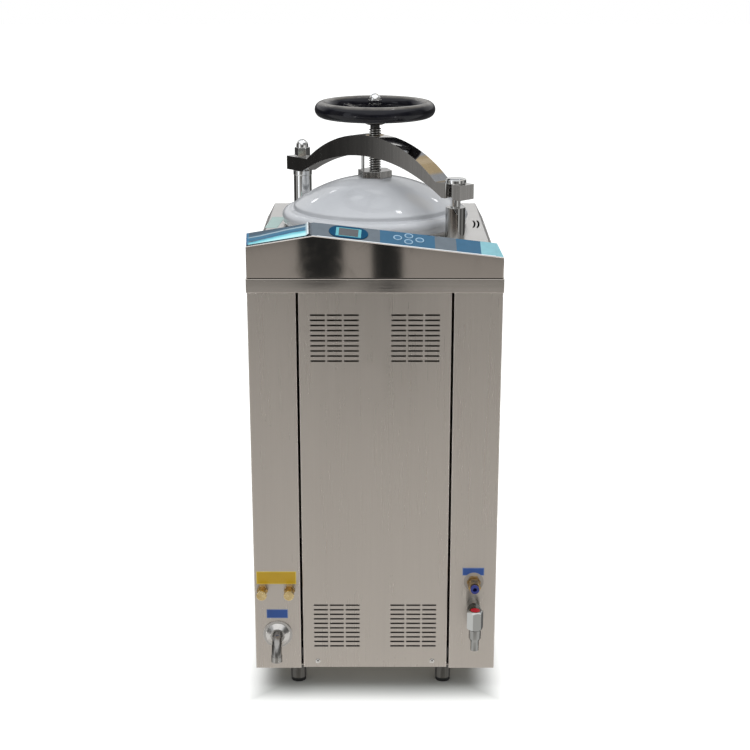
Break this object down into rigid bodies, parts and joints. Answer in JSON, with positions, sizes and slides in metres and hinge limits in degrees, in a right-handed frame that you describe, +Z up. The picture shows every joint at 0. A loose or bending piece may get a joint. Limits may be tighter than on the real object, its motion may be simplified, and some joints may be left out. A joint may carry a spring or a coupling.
{
  "type": "vertical steam autoclave",
  "caption": "Floor-standing top-loading steam sterilizer: a brushed steel cabinet, a domed lid pressed shut by a handwheel screw in a swing arm, and a peaked front console.",
  "frame": {"origin": "centre of the box round the whole part, on the floor under the foot pads", "axes": "+Z up, the front with the console faces -Y, +X is to the right seen from the front"},
  "size_m": [0.493, 0.7314, 1.1795],
  "materials": {
    "brushed": "brushed",
    "polished": "polished",
    "chromed": "mirror",
    "structure": "satin",
    "pad_rubber": "matt",
    "arm_steel": "polished",
    "wheel_black": "gloss",
    "lid_white": "gloss",
    "brass": "satin",
    "collar_blue": "gloss",
    "index_red": "gloss",
    "overlay_film": "satin",
    "key_film": "satin",
    "bezel_blue": "gloss",
    "window_clear": "gloss",
    "board_green": "matt",
    "gland_black": "matt",
    "vessel_steel": "satin",
    "seal_rubber": "matt",
    "wool": "matt",
    "sheath": "satin"
  },
  "bodies": {
    "cabinet": {"leg_tubes": "brushed", "foot_pads": "pad_rubber", "base_frame": "structure", "base_pan": "brushed", "top_frame_ring": "structure", "left_side_cover": "brushed", "right_side_cover": "brushed", "front_access_panel": "brushed", "panel_screws": "chromed", "back_cover": "brushed", "rail_band": "brushed", "top_cover": "brushed", "console_shell": "polished", "keypad_overlay": "overlay_film", "display_bezel": "bezel_blue", "display_window": "window_clear", "control_board": "board_green", "cable_gland": "gland_black", "yoke_plate": "structure", "lock_post": "chromed", "lock_stud": "chromed", "hinge_post": "chromed", "hinge_stud": "chromed", "hinge_nut": "chromed", "stud_nuts": "chromed", "chamber_vessel": "vessel_steel", "chamber_flange": "vessel_steel", "lid_gasket": "seal_rubber", "insulation_jacket": "wool", "heater": "sheath", "level_probes": "vessel_steel", "support_grid": "vessel_steel", "drain_pipe": "vessel_steel", "drain_rosette": "brushed", "drain_elbow": "brushed", "condensate_tank": "vessel_steel", "tank_nipples": "brass", "nipple_caps": "brass", "inlet_fitting": "brass", "inlet_valve": "gland_black", "tap_body": "chromed", "steam_manifold": "vessel_steel", "safety_valve": "brass"},
    "arm": {"swing_arm": "arm_steel", "arm_bushes": "brass"},
    "lid": {"lid_cover": "lid_white", "lid_plate": "vessel_steel", "lid_boss": "arm_steel", "guide_pin": "chromed"},
    "wheel": {"clamp_screw": "vessel_steel", "handwheel": "wheel_black", "wheel_nut": "chromed"},
    "basket_body": {"basket": "vessel_steel"},
    "key_left_body": {"key_left": "key_film"},
    "key_right_body": {"key_right": "key_film"},
    "key_front_body": {"key_front": "key_film"},
    "key_back_body": {"key_back": "key_film"},
    "knob": {"tap_knob": "chromed", "tap_index": "index_red"},
    "collar": {"inlet_collar": "collar_blue"}
  },
  "joints": [
    {"name": "arm_swing", "type": "hinge", "parent": "cabinet", "child": "arm", "pos_m": [-0.162, 0.26821, 1.006], "axis": [0, 0, 1], "range_deg": [0, 105]},
    {"name": "lid_lift", "type": "slide", "parent": "arm", "child": "lid", "axis": [0, 0, 1], "range_m": [0, 0.025]},
    {"name": "wheel_turn", "type": "hinge", "parent": "lid", "child": "wheel", "pos_m": [0, 0.09021, 1.147], "axis": [0, 0, 1], "range_deg": [0, 1800]},
    {"name": "basket_lift", "type": "slide", "parent": "cabinet", "child": "basket_body", "axis": [0, 0, 1], "range_m": [0, 0.06]},
    {"name": "tap_turn", "type": "hinge", "parent": "cabinet", "child": "knob", "pos_m": [0.2, -0.34979, 0.18], "axis": [0, 0, 1], "range_deg": [0, 90]},
    {"name": "collar_press", "type": "slide", "parent": "cabinet", "child": "collar", "axis": [0, 1, 0], "range_m": [0, 0.0015], "stiffness_N_per_m": 500},
    {"name": "key_left_press", "type": "slide", "parent": "cabinet", "child": "key_left_body", "axis": [-0.1083, 0.3381, -0.9348], "range_m": [0, 0.0008], "stiffness_N_per_m": 400},
    {"name": "key_right_press", "type": "slide", "parent": "cabinet", "child": "key_right_body", "axis": [-0.1083, 0.3381, -0.9348], "range_m": [0, 0.0008], "stiffness_N_per_m": 400},
    {"name": "key_front_press", "type": "slide", "parent": "cabinet", "child": "key_front_body", "axis": [-0.1083, 0.3381, -0.9348], "range_m": [0, 0.0008], "stiffness_N_per_m": 400},
    {"name": "key_back_press", "type": "slide", "parent": "cabinet", "child": "key_back_body", "axis": [-0.1083, 0.3381, -0.9348], "range_m": [0, 0.0008], "stiffness_N_per_m": 400}
  ],
  "couplings": [
    {"joint": "lid_lift", "follows": "wheel_turn", "m_per_rad": 0.0007957}
  ]
}
